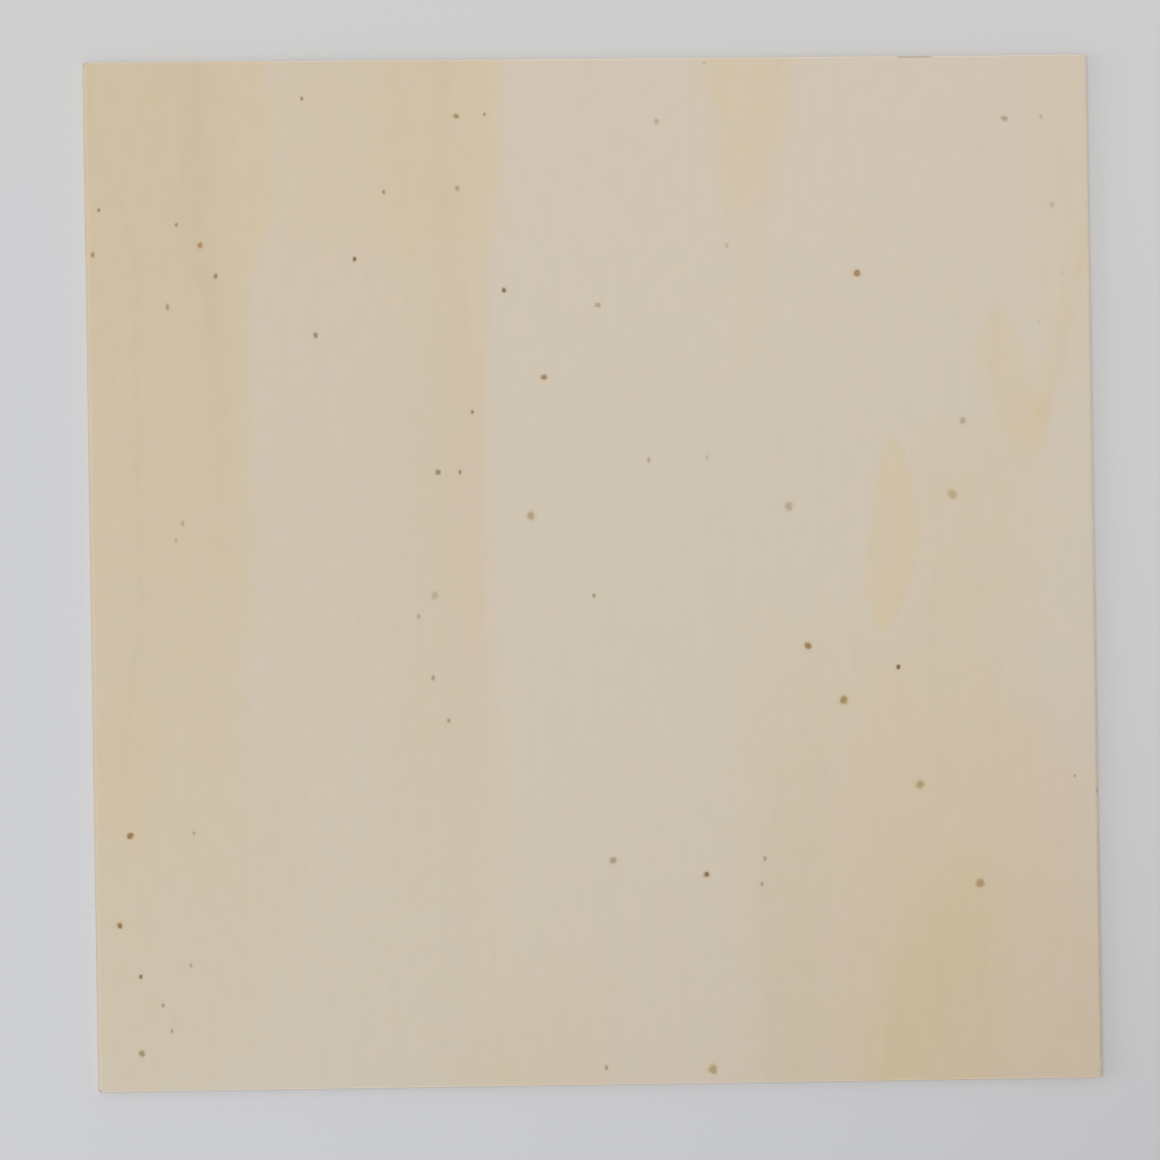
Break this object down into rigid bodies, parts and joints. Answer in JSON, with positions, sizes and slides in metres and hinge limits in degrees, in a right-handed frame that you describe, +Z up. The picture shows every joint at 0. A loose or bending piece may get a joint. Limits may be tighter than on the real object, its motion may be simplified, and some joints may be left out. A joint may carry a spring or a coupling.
{
  "type": "plywood sheet",
  "caption": "Thin flat square sheet of pale, knotty plywood with sanded arrises and slightly rounded corners, stock for cutting, gluing and facing.",
  "frame": {"origin": "middle of the back, where the sheet lies on the floor", "axes": "+Z up through the thickness, out of the face; +Y along the grain of the face; +X across it"},
  "size_m": [0.3, 0.3, 0.003],
  "materials": {
    "plywood": "sanded, uncoated"
  },
  "bodies": {
    "root": {"plywood_sheet": "plywood"}
  },
  "joints": []
}
